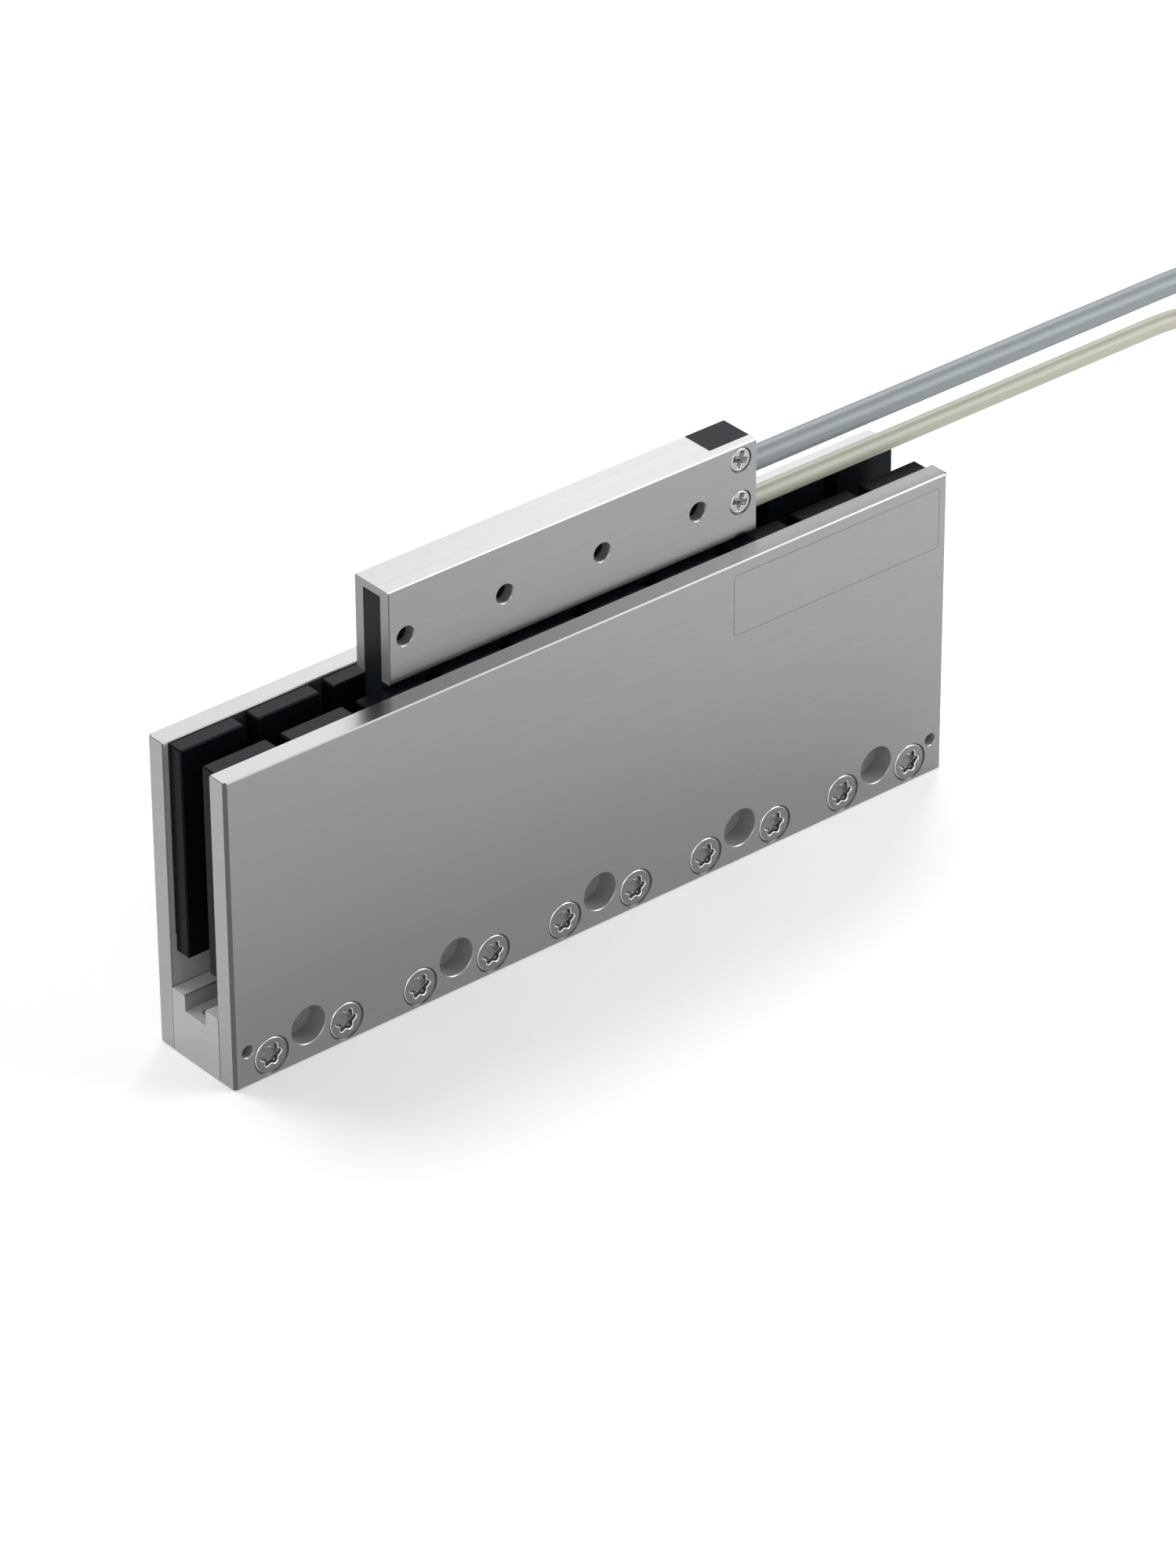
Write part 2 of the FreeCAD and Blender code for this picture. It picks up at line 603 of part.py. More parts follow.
def hank_tie():
    """The strap round one side of both hanks."""
    x = HANK_START + HANK_LEAD + HANK_STRAIGHT / 2
    half = max(POWER_CABLE_DIAMETER, SENSOR_CABLE_DIAMETER) / 2 + TIE_ROOM
    top = POWER_HANK_BOTTOM + HANK_LAYERS * POWER_TURN + TIE_ROOM
    ends = (x - TIE_WIDTH / 2, x + TIE_WIDTH / 2)
    y = -HANK_RADIUS
    t = TIE_THICKNESS
    outside = box(*ends, y - half - t, y + half + t, 0, top + t)
    return outside.cut(box(*ends, y - half, y + half, SENSOR_HANK_BOTTOM, top))


os.makedirs("parts", exist_ok=True)

# Magnet yoke
save(side_plate(-1), "front_side_plate")
save(side_plate(1), "rear_side_plate")
save(spacer_bar(), "spacer_bar")
save(plate_screws(-1), "front_plate_screws")
save(plate_screws(1), "rear_plate_screws")
for number, place in enumerate(MAGNET_X, start=1):
    save(magnet(place, -1), f"front_magnet_{number:02d}")
    save(magnet(place, 1), f"rear_magnet_{number:02d}")

# Coil unit
save(coil_housing(), "coil_housing")
save(cable_block(), "cable_block")
save(block_screws(), "cable_block_screws")
save(blade_core(), "blade_core")
save(blade_skin(-1), "blade_front_skin")
save(blade_skin(1), "blade_rear_skin")
save(terminal_board(0), "terminal_board")
save(temperature_sensor(0), "temperature_sensor")
for number, place in enumerate(COIL_X, start=1):
    save(coil_winding(place), f"coil_winding_{number}")
    save(coil_former(place), f"coil_former_{number}")

# Cables
save(cord_tube(POWER_ROUTE, POWER_CABLE_DIAMETER), "power_cable")
save(cord_tube(SENSOR_ROUTE, SENSOR_CABLE_DIAMETER), "sensor_cable")
save(hank(POWER_HANK_BOTTOM, 1, POWER_CABLE_DIAMETER), "power_cable_hank")
save(hank(SENSOR_HANK_BOTTOM, -1, SENSOR_CABLE_DIAMETER), "sensor_cable_hank")
save(bare_cores(POWER_HANK_BOTTOM, 1, POWER_CABLE_DIAMETER, POWER_CORE_DIAMETER), "power_cable_cores")
save(bare_cores(SENSOR_HANK_BOTTOM, -1, SENSOR_CABLE_DIAMETER, SENSOR_CORE_DIAMETER), "sensor_cable_cores")
save(hank_tie(), "hank_tie")
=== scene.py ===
import math
import bmesh
import bpy
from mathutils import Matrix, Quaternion, Vector


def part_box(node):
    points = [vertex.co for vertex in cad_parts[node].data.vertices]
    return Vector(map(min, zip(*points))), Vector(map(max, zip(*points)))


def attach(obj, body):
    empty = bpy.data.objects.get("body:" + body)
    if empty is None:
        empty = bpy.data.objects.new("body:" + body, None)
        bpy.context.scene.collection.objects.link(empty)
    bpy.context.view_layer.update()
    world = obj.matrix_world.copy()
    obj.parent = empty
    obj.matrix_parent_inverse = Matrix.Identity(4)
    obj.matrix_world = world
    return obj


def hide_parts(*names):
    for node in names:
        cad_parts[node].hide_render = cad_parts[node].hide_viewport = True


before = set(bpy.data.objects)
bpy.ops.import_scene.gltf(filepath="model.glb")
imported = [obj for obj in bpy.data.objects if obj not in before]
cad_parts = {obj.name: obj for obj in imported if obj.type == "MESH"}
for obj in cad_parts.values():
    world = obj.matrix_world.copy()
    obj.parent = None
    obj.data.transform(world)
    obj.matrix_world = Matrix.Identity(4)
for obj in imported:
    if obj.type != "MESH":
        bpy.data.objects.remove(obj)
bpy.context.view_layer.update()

# The looks of an ironless linear motor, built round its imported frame. All lengths are in metres.

MM = 0.001

# Camera, as the photograph was taken
CAMERA_PLACE = (-0.87801, -1.06561, 0.89222)
CAMERA_TURN = (0.821502, 0.456749, -0.163572, -0.299598)
CAMERA_LENS = 164.87
CAMERA_SENSOR = 36.0
CAMERA_CLIP = (0.05, 30.0)

# Lights: each has its place, its size and its brightness, with white as 1
LIGHTS = {
    "key_softbox": ((-0.3, 0.95, 1.6), (0.9, 0.9), 4.9),
    "sky_softbox": ((1.3, 1.5, 1.2), (1.6, 1.0), 1.4),
    "front_softbox": ((0.6, -0.58, 0.8), (0.6, 0.5), 1.7),
    "left_softbox": ((-1.5, -1.3, 0.95), (2.2, 1.0), 1.15),
    "right_softbox": ((0.38, -0.3, 0.26), (0.3, 0.25), 4.6),
    "top_softbox": ((1.1, 0.9, 1.45), (0.5, 0.4), 8.0),
}
LIGHT_TARGET = Vector((0, 0, 0.05))
SKY_LIGHT = 0.36

# Floor: how much light it scatters, and its glow where it is seen
FLOOR_HALF = 6.0
FLOOR_DROP = 0.05 * MM
FLOOR_SCATTER = 0.8
FLOOR_GLOW = 0.14

# Places read from the frame
YOKE_LOW, YOKE_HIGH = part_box("front_side_plate")[0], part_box("rear_side_plate")[1]
HOUSING_LOW, HOUSING_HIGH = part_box("coil_housing")
SPACER_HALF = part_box("spacer_bar")[1].y
MAGNETS_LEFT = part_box("front_magnet_01")[0].x
MAGNET_PITCH = (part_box("front_magnet_02")[0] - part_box("front_magnet_01")[0]).x

# Every screw: a head is smaller than its seat by a share of its rim; a face's slope and depth make it an
# edge, which gets a painted highlight
SCREW_SINK = 0.1 * MM
SCREW_GAP = 0.14 * MM
HEAD_ROOM = 0.6
RIM_STEPS = 4
EDGE_DEPTH = 0.4 * MM
EDGE_SLOPES = (0.2, 0.95)
RECESS_TOP = 0.12 * MM

# Screws of the side plates
PLATE_SCREW_COUNT = 10
PLATE_SCREW_HEIGHT = 5.4 * MM
PLATE_SCREW_RADIUS = 2.5 * MM
PLATE_SCREW_HEAD = 4.7 * MM
PLATE_SCREW_RIM = 0.36 * MM
PLATE_SCREW_LENGTH = 11.9 * MM
PLATE_SCREW_STEPS = 96
SOCKET_LOBES = 6
SOCKET_OUTER = 2.8 * MM
SOCKET_INNER = 2.0 * MM
SOCKET_DEPTH = 1.2 * MM
SOCKET_FILLET = 0.1 * MM
SOCKET_CONE = 0.3 * MM
SOCKET_TIP = 0.4 * MM
SOCKET_BEVEL = 0.32 * MM
INNER_BEVEL = 0.35 * SOCKET_BEVEL

# Screws of the cable block
BLOCK_SCREW_COUNT = 2
BLOCK_SCREW_X = HOUSING_HIGH.x - 4.65 * MM
BLOCK_SCREW_TOP = HOUSING_HIGH.z - 3.85 * MM
BLOCK_SCREW_PITCH = 10.9 * MM
BLOCK_SCREW_RADIUS = 1.5 * MM
BLOCK_SCREW_HEAD = 3.0 * MM
BLOCK_SCREW_RIM = 0.25 * MM
BLOCK_SCREW_LENGTH = 7.9 * MM
CROSS_REACH = 2.2 * MM
CROSS_WIDTH = 1.5 * MM
CROSS_DEPTH = 1.3 * MM
CROSS_CONE = 0.1 * MM
CROSS_BOTTOM_REACH = 0.8 * MM
CROSS_BOTTOM_WIDTH = 0.4 * MM
CROSS_BEVEL = 0.08 * MM
CROSS_TURN = math.radians(68)
CROSS_EXTRA_ANGLES = (-35, -26, 26, 35, 45)

# Clear film on the front plate
FILM_LEFT, FILM_RIGHT = 39.6 * MM, 102.2 * MM
FILM_BOTTOM, FILM_TOP = 60.7 * MM, 76.5 * MM
FILM_THICKNESS = 0.08 * MM
FILM_SIDE = 0.4 * FILM_THICKNESS
FILM_GAP = 0.01 * MM
FILM_CORNER = 0.8 * MM
FILM_EDGE = 0.22 * MM

# Cables; the lengths are those of the jackets
POWER_DIAMETER = 5.8 * MM
SENSOR_DIAMETER = 4.7 * MM
POWER_LENGTH = 0.934
SENSOR_LENGTH = 0.938
JACKET_WALL = 0.5 * MM

# Bare conductors at the cables' ends; a stop has its distance from the jacket's end and its share of the
# splay, and each core splays and drops a little more than the one before it
CORE_COUNT = 4
POWER_CORE = 1.6 * MM
SENSOR_CORE = 1.1 * MM
CORE_LENGTH = 25.0 * MM
CORE_SPLAY = 0.7 * MM
CORE_SPLAY_GROWTH = 0.4
CORE_DROP = 0.1 * MM
TIP_LENGTH = 5.0 * MM
TIP_DIAMETER = 0.7
CORE_STOPS = ((-1 * MM, 0), (6 * MM, 0.2), (CORE_LENGTH / 2, 0.9), (CORE_LENGTH - TIP_LENGTH, 1.0))

# Hanks of the put-away length
HANK_START = 306.0 * MM
HANK_LEAD = 22.0 * MM
HANK_STRAIGHT = 60.0 * MM
HANK_RADIUS = 18.9 * MM
HANK_LAYERS = 3
HANK_LAST_RUN = 30.0 * MM
HANK_STEPS = 6
HANK_END = HANK_START + HANK_LEAD + HANK_STRAIGHT - HANK_LAST_RUN
TURN_ROOM = 0.1 * MM
SENSOR_HANK_BOTTOM = 0.8 * MM
POWER_HANK_BOTTOM = 15.4 * MM

# Strap round one side of both hanks; its section is given in shares of the width and the thickness
STRAP_WIDTH = 10.0 * MM
STRAP_THICKNESS = 0.8 * MM
STRAP_ROOM = 0.2 * MM
STRAP_OVERLAP = 0.3
STRAP_OVERLAP_STOPS = (0.1, 0.35, 0.7, 1.0, 1.4)
STRAP_LIFT = 1.1
STRAP_CORNER_STEPS = 8
STRAP_SECTION = (
    (-0.5, 0.15), (-0.48, 0.0), (0.48, 0.0), (0.5, 0.15), (0.5, 0.85), (0.48, 1.0), (-0.48, 1.0), (-0.5, 0.85)
)

# Where each cable runs from the block to its hank
POWER_ROUTE = [
    (0.0530, 0.001275, 0.0938),
    (0.1727, 0.001275, 0.0938),
    (0.2000, 0.001275, 0.0938),
    (0.2260, 0.0032, 0.0850),
    (0.2450, 0.0085, 0.0645),
    (0.2590, 0.0146, 0.0400),
    (0.2790, 0.0189, 0.0225),
    (0.3060, 0.0189, 0.01835),
]
SENSOR_ROUTE = [
    (0.0530, 0.001275, 0.0838),
    (0.1704, 0.001275, 0.0838),
    (0.1960, 0.001275, 0.0838),
    (0.2200, 0.0002, 0.0750),
    (0.2375, -0.0046, 0.0535),
    (0.2495, -0.0111, 0.0290),
    (0.2660, -0.0164, 0.0120),
    (0.2860, -0.0189, 0.0044),
    (0.3060, -0.0189, 0.0032),
]

# Finishes: the usual range of a noise, and how brushed metals, grains and the film vary with theirs
NOISE_LOW, NOISE_HIGH = 0.3, 0.7
BRUSH_SWING = 0.02
BRUSH_DEPTH = 0.01 * MM
BRUSH_STRENGTH = 0.2
CLOUDS = (18, 30, 40)
CLOUD_DETAIL = 2.0
GRAIN_SWING = 0.05
GRAIN_DEPTH = 0.01 * MM
GRAIN_STRENGTH = 0.3
GRAIN_DETAIL = 4.0
FILM_GRAIN = (60, 60, 60)
FILM_ROUGHNESS = (0.1, 0.18)
# GAP_SHADE: the share of the metal's colour left in the painted shadow of the narrow gaps round the screws
GAP_SHADE = 0.25

# Zones of a metal with painted light or shade, some of them also matt: ranges along the axes, how much paler,
# and how metallic
FAR = 1.0
MATT = 0.1
METAL = 1.0
SKIN = 0.05 * MM
# The width of the painted dark and bright lines along the plates' and the housing's end edges
PAINTED_EDGE_LINE = 0.35 * MM
PLATE_INSIDE = (-FAR, SPACER_HALF + SKIN)
PLATE_BORES = {
    "|X|": (-FAR, YOKE_HIGH.x - 0.9 * MM),
    "|Y|": (SPACER_HALF + SKIN, YOKE_HIGH.y - 0.23 * MM),
    "Z": (2 * MM, 14 * MM),
}
PLATE_CHAMFER = 0.79 * MM
PLATE_TOP = {"Z": (YOKE_HIGH.z - SKIN, FAR)}
PLATE_TOP_POLISH = 0.75
BETWEEN_MAGNETS = {"|X|": (-FAR, -MAGNETS_LEFT), "|Y|": PLATE_INSIDE, "Z": (30 * MM, FAR)}
PAINTED_EDGE_X, PAINTED_EDGE_Y = (YOKE_HIGH.x - PAINTED_EDGE_LINE, FAR), (0.0, SPACER_HALF + 0.2 * MM)
# Side plates: the inner faces painted paler and matt as if lit, the inner faces between the magnets painted
# dark as shadow, the bores painted paler and matt as if lit, the outer vertical chamfers painted darker as
# shade, the end faces and the top painted paler as if lit, and along the ends' inner edges a painted dark
# line on the rear plate and a painted bright line on the front one
PLATE_ZONES = (
    ({"|Y|": PLATE_INSIDE}, 1.55, MATT),
    (BETWEEN_MAGNETS, 0.12, METAL),
    (PLATE_BORES, 1.15, MATT),
    ({"|X|": (YOKE_HIGH.x - PLATE_CHAMFER, FAR), "|Y|": (YOKE_HIGH.y - PLATE_CHAMFER, FAR)}, 0.4, METAL),
    ({"|X|": (YOKE_HIGH.x - SKIN, FAR)}, 1.36, METAL),
    (PLATE_TOP, 1.08, METAL),
    ({"|X|": PAINTED_EDGE_X, "Y": PAINTED_EDGE_Y}, 0.35, METAL),
    ({"|X|": PAINTED_EDGE_X, "-Y": PAINTED_EDGE_Y}, 1.5, METAL),
)

# The spacer bar's painted light and shade, from its middle outwards: the groove's floor painted paler, its
# wall darker, its edge a painted bright line, the top paler and the sides a little darker, all matt but the
# edge; its end faces are painted a little paler
GROOVE_HALF = 3.7 * MM
SPACER_END = YOKE_HIGH.x - 0.1 * MM
SPACER_STOPS = (
    -FAR,
    GROOVE_HALF - 0.1 * MM,
    GROOVE_HALF + 0.05 * MM,
    GROOVE_HALF + 0.3 * MM,
    SPACER_HALF - 0.15 * MM,
    FAR,
)
SPACER_SHADES_AND_FINISHES = ((1.7, MATT), (0.8, MATT), (2.2, METAL), (1.9, MATT), (0.95, MATT))
SPACER_ZONES = [({"|X|": (SPACER_END, FAR)}, 1.08, METAL)]
for *strip, (paler, metallic) in zip(SPACER_STOPS, SPACER_STOPS[1:], SPACER_SHADES_AND_FINISHES):
    SPACER_ZONES.append(({"|X|": (-FAR, SPACER_END), "|Y|": tuple(strip)}, paler, metallic))

HOUSING_CHAMFER = 0.24 * MM
HOUSING_INSIDE = {
    "|X|": (-FAR, HOUSING_HIGH.x - 0.4 * MM),
    "|Y|": (-FAR, HOUSING_HIGH.y - 0.32 * MM),
    "Z": (-FAR, HOUSING_HIGH.z - 3 * MM),
}
HOUSING_LEFT_EDGE = {
    "-X": (HOUSING_HIGH.x - PAINTED_EDGE_LINE, HOUSING_HIGH.x - SKIN),
    "|Y|": (HOUSING_HIGH.y - SKIN, FAR),
}
HOUSING_TOP = (HOUSING_HIGH.z - HOUSING_CHAMFER, FAR)
# The coil housing's painted light and shade: its inside a little darker and matt, its end faces paler and
# partly matt, a painted dark line by its left end's vertical edges, its top paler, and its top chamfers a
# painted bright line
HOUSING_ZONES = (
    (HOUSING_INSIDE, 0.8, MATT),
    ({"|X|": (HOUSING_HIGH.x - SKIN, FAR)}, 1.3, 0.3),
    (HOUSING_LEFT_EDGE, 0.3, METAL),
    ({"Z": HOUSING_TOP}, 1.15, METAL),
    ({"|Y|": (HOUSING_HIGH.y - HOUSING_CHAMFER, FAR), "Z": HOUSING_TOP}, 1.9, METAL),
)

# The gaps round the screws: the first screw's place, the pitch along X, Y and Z, and the radius
PLATE_SCREW_GAPS = (
    (MAGNET_PITCH / 2, 0, PLATE_SCREW_HEIGHT),
    (MAGNET_PITCH, 1, 1),
    PLATE_SCREW_HEAD + SCREW_GAP,
)
BLOCK_SCREW_GAPS = (
    (BLOCK_SCREW_X, 0, BLOCK_SCREW_TOP),
    (1, 1, BLOCK_SCREW_PITCH),
    BLOCK_SCREW_HEAD + SCREW_GAP,
)


def add_object(name, data):
    """A new object in the scene."""
    thing = bpy.data.objects.new(name, data)
    bpy.context.scene.collection.objects.link(thing)
    return thing


def mesh_from(name, bm, materials, sharp_angle=30):
    """A mesh with smooth shading up to an angle, in degrees, between its faces."""
    bmesh.ops.recalc_face_normals(bm, faces=bm.faces)
    mesh = bpy.data.meshes.new(name)
    bm.to_mesh(mesh)
    bm.free()
    mesh.shade_smooth()
    mesh.set_sharp_from_angle(angle=math.radians(sharp_angle))
    for material in materials:
        mesh.materials.append(material)
    return mesh


def join_rings(bm, rows):
    """Faces between each closed row of corners and the next one, and returns them."""
    faces = []
    for row, after in zip(rows, rows[1:]):
        for k in range(len(row)):
            faces.append(bm.faces.new((row[k - 1], row[k], after[k], after[k - 1])))
    return faces


def new_material(name, color, metallic=0.0, roughness=0.5, specular=0.5, tint=(1.0, 1.0, 1.0)):
    """A material whose shader has these constant values; returns it with its node tree and shader."""
    material = bpy.data.materials.new(name)
    material.use_nodes = True
    tree = material.node_tree
    shader = tree.nodes["Principled BSDF"]
    shader.inputs["Base Color"].default_value = (*color, 1.0)
    shader.inputs["Metallic"].default_value = metallic
    shader.inputs["Roughness"].default_value = roughness
    shader.inputs["Specular IOR Level"].default_value = specular
    shader.inputs["Specular Tint"].default_value = (*tint, 1.0)
    return material, tree, shader


def stretched_noise(tree, scale, detail=3.0):
    """Noise in the object's own coordinates, with its own scale along each axis, per metre."""
    place = tree.nodes.new("ShaderNodeTexCoord")
    mapping = tree.nodes.new("ShaderNodeMapping")
    mapping.inputs["Scale"].default_value = scale
    noise = tree.nodes.new("ShaderNodeTexNoise")
    noise.inputs["Scale"].default_value = 1.0
    noise.inputs["Detail"].default_value = detail
    tree.links.new(place.outputs["Object"], mapping.inputs["Vector"])
    tree.links.new(mapping.outputs["Vector"], noise.inputs["Vector"])
    return noise.outputs["Fac"]


def mapped(tree, value, low, high, start=NOISE_LOW, end=NOISE_HIGH):
    """Maps a part of a value's range to another range."""
    node = tree.nodes.new("ShaderNodeMapRange")
    node.inputs["From Min"].default_value = start
    node.inputs["From Max"].default_value = end
    node.inputs["To Min"].default_value = low
    node.inputs["To Max"].default_value = high
    tree.links.new(value, node.inputs["Value"])
    return node.outputs["Result"]


def switched(tree, switch, off, on):
    """One number where the switch is 0, and another where it is 1."""
    return mapped(tree, switch, off, on, 0.0, 1.0)


def combined(tree, operation, first, second):
    """Two values, or a value and a number, put together."""
    node = tree.nodes.new("ShaderNodeMath")
    node.operation = operation
    tree.links.new(first, node.inputs[0])
    if isinstance(second, float):
        node.inputs[1].default_value = second
    else:
        tree.links.new(second, node.inputs[1])
    return node.outputs["Value"]


def tinted(tree, value, color):
    """A colour times a value."""
    tint = tree.nodes.new("ShaderNodeVectorMath")
    tint.operation = "SCALE"
    tint.inputs[0].default_value = color
    tree.links.new(value, tint.inputs["Scale"])
    return tint.outputs["Vector"]


def bump(tree, shader, height, distance, strength):
    """Bump from a height value."""
    node = tree.nodes.new("ShaderNodeBump")
    node.inputs["Strength"].default_value = strength
    node.inputs["Distance"].default_value = distance
    tree.links.new(height, node.inputs["Height"])
    tree.links.new(node.outputs["Normal"], shader.inputs["Normal"])


def zone(tree, ranges):
    """1 where the place's coordinates are in these ranges, and 0 elsewhere.

    Each range belongs to an axis, such as "Z", to one turned round, "-X", or to both its sides, "|X|".
    """
    place = tree.nodes.new("ShaderNodeTexCoord")
    axes = tree.nodes.new("ShaderNodeSeparateXYZ")
    tree.links.new(place.outputs["Object"], axes.inputs["Vector"])
    result = None
    for axis, (low, high) in ranges.items():
        value = axes.outputs[axis.strip("-|")]
        if "|" in axis:
            value = combined(tree, "ABSOLUTE", value, 0.0)
        if "-" in axis:
            value = combined(tree, "MULTIPLY", value, -1.0)
        both = combined(tree, "GREATER_THAN", value, low)
        both = combined(tree, "MULTIPLY", both, combined(tree, "LESS_THAN", value, high))
        result = combined(tree, "MULTIPLY", result, both) if result else both
    return result


def near_screws(tree, first, pitch, radius):
    """1 within a radius of the screws' axes, and 0 elsewhere.

    The axes start at one place and repeat along X and Z.
    """
    half = Vector(pitch) / 2
    place = tree.nodes.new("ShaderNodeTexCoord").outputs["Object"]
    for operation, values in (("SUBTRACT", (first,)), ("MULTIPLY", ((1, 0, 1),)), ("WRAP", (half, -half))):
        node = tree.nodes.new("ShaderNodeVectorMath")
        node.operation = operation
        tree.links.new(place, node.inputs[0])
        for socket, value in zip(node.inputs[1:], values):
            socket.default_value = value
        place = node.outputs["Vector"]
    distance = tree.nodes.new("ShaderNodeVectorMath")
    distance.operation = "LENGTH"
    tree.links.new(place, distance.inputs[0])
    return combined(tree, "LESS_THAN", distance.outputs["Value"], radius)


def brushed_metal(name, color, roughness, contrast, coarse, fine, zones=(), screws=None, polished=None):
    """Metal with long brush lines. Each noise has its scale along X, Y and Z, per metre.

    Zones with painted light or shade, some of them also matt, are given by their ranges, how much paler they
    are and how metallic, and a polished one by its ranges and its share of the roughness.
    The narrow gaps round its screws, whose places are given as for near_screws, lie in shadow.
    """
    material, tree, shader = new_material(name, color, metallic=1.0)
    lines, hairs = stretched_noise(tree, coarse), stretched_noise(tree, fine)
    shade = mapped(tree, lines, 1 - contrast, 1 + contrast)
    shade = combined(tree, "MULTIPLY", shade, mapped(tree, hairs, 1 - contrast, 1 + contrast))
    patches = mapped(tree, stretched_noise(tree, CLOUDS, CLOUD_DETAIL), 1 - contrast / 2, 1 + contrast / 2)
    shade = combined(tree, "MULTIPLY", shade, patches)
    metal = None
    # Each zone's painted light or shade, and where it is matt, its metallic share
    for ranges, paler, metallic in zones:
        place = zone(tree, ranges)
        shade = combined(tree, "MULTIPLY", shade, switched(tree, place, 1.0, paler))
        if metallic < 1.0:
            share = switched(tree, place, 1.0, metallic)
            metal = combined(tree, "MULTIPLY", metal, share) if metal else share
    if metal:
        tree.links.new(metal, shader.inputs["Metallic"])
    # The narrow gaps round the screws get a painted shadow
    if screws:
        gap = near_screws(tree, *screws)
        shade = combined(tree, "MULTIPLY", shade, switched(tree, gap, 1.0, GAP_SHADE))
    tree.links.new(tinted(tree, shade, color), shader.inputs["Base Color"])
    rough, smooth = roughness + BRUSH_SWING, roughness - BRUSH_SWING
    both = combined(tree, "ADD", lines, patches)
    rough = mapped(tree, both, rough, smooth, 1 + NOISE_LOW, 1 + NOISE_HIGH)
    if polished:
        ranges, share = polished
        rough = combined(tree, "MULTIPLY", rough, switched(tree, zone(tree, ranges), 1.0, share))
    tree.links.new(rough, shader.inputs["Roughness"])
    bump(tree, shader, combined(tree, "ADD", lines, hairs), BRUSH_DEPTH, BRUSH_STRENGTH)
    return material


def coated(name, color, roughness, grain, contrast=0.15, depth=GRAIN_DEPTH, **constants):
    """Paint, plastic or plain metal with a fine even grain, whose scale is per metre."""
    material, tree, shader = new_material(name, color, **constants)
    noise = stretched_noise(tree, (grain, grain, grain), GRAIN_DETAIL)
    shade = mapped(tree, noise, 1 - contrast, 1 + contrast)
    tree.links.new(tinted(tree, shade, color), shader.inputs["Base Color"])
    rough = mapped(tree, noise, roughness - GRAIN_SWING, roughness + GRAIN_SWING)
    tree.links.new(rough, shader.inputs["Roughness"])
    bump(tree, shader, noise, depth, GRAIN_STRENGTH)
    return material


def clear_film(name, color, alpha):
    """A clear film that lets most of the metal behind it show."""
    material, tree, shader = new_material(name, color, specular=0.3)
    shader.inputs["Alpha"].default_value = alpha
    rough = mapped(tree, stretched_noise(tree, FILM_GRAIN), *FILM_ROUGHNESS)
    tree.links.new(rough, shader.inputs["Roughness"])
    return material


# Metals: colour, roughness, contrast, and the scales of the brush lines
plate_steel = brushed_metal(
    "plate_steel",
    (0.268, 0.268, 0.27),
    0.34,
    0.013,
    (9, 60, 520),
    (30, 400, 2600),
    zones=PLATE_ZONES,
    screws=PLATE_SCREW_GAPS,
    polished=(PLATE_TOP, PLATE_TOP_POLISH),
)
spacer_steel = brushed_metal(
    "spacer_steel", (0.4, 0.4, 0.4), 0.36, 0.02, (25, 500, 900), (60, 3000, 4000), zones=SPACER_ZONES
)
housing_metal = brushed_metal(
    "housing_metal",
    (0.262, 0.262, 0.262),
    0.34,
    0.01,
    (9, 700, 700),
    (40, 3000, 3000),
    zones=HOUSING_ZONES,
    screws=BLOCK_SCREW_GAPS,
)
copper_wire = brushed_metal("copper_wire", (0.72, 0.33, 0.16), 0.35, 0.1, (300, 300, 300), (2500, 300, 300))

# Screws, tips and coatings: colour, roughness, grain, contrast, and the grain's depth
screw_steel = coated("screw_steel", (0.22, 0.22, 0.22), 0.22, 900, 0.04, metallic=1.0)
pale_screw_steel = coated("pale_screw_steel", (0.33, 0.33, 0.33), 0.22, 900, 0.04, metallic=1.0)
# A darker copy of the cross screws' steel in their recess, as painted shade
shaded_recess_steel = coated("shaded_recess_steel", (0.19, 0.19, 0.19), 0.3, 900, 0.04, metallic=1.0)
# A much paler steel on the screws' bevelled edges, as a painted highlight
screw_edge_highlight = coated("screw_edge_highlight", (0.8, 0.8, 0.8), 0.16, 900, 0.04, metallic=1.0)
tinned_copper = coated("tinned_copper", (0.55, 0.54, 0.52), 0.3, 2500, 0.1, 0.05 * MM, metallic=1.0)
magnet_coat = coated(
    "magnet_coat", (0.0035, 0.0045, 0.006), 0.27, 4000, specular=0.07, tint=(0.7, 0.87, 1.0)
)
block_plastic = coated("block_plastic", (0.02, 0.0225, 0.026), 0.5, 2500, specular=0.06)
blade_epoxy = coated("blade_epoxy", (0.015, 0.018, 0.021), 0.42, 1200, specular=0.08)
board_green = coated("board_green", (0.02, 0.13, 0.06), 0.4, 1200)
power_jacket = coated("power_jacket", (0.175, 0.203, 0.215), 0.42, 3000, 0.02, 0.002 * MM, specular=0.75)
sensor_jacket = coated("sensor_jacket", (0.36, 0.36, 0.288), 0.42, 3000, 0.015, 0.002 * MM, specular=0.75)
strap_fabric = coated("strap_fabric", (0.018, 0.018, 0.02), 0.9, 2200, 0.5, 0.25 * MM, specular=0.2)
film_clear = clear_film("film_clear", (0.7, 0.7, 0.7), 0.03)
film_edge = clear_film("film_edge", (0.12, 0.12, 0.12), 0.3)
CORE_COLORS = {
    "core_black": (0.015, 0.015, 0.016),
    "core_brown": (0.12, 0.045, 0.02),
    "core_blue": (0.02, 0.06, 0.25),
    "core_green": (0.05, 0.25, 0.06),
}
core_jackets = [coated(name, color, 0.35, 500, 0.05, 0.005 * MM) for name, color in CORE_COLORS.items()]

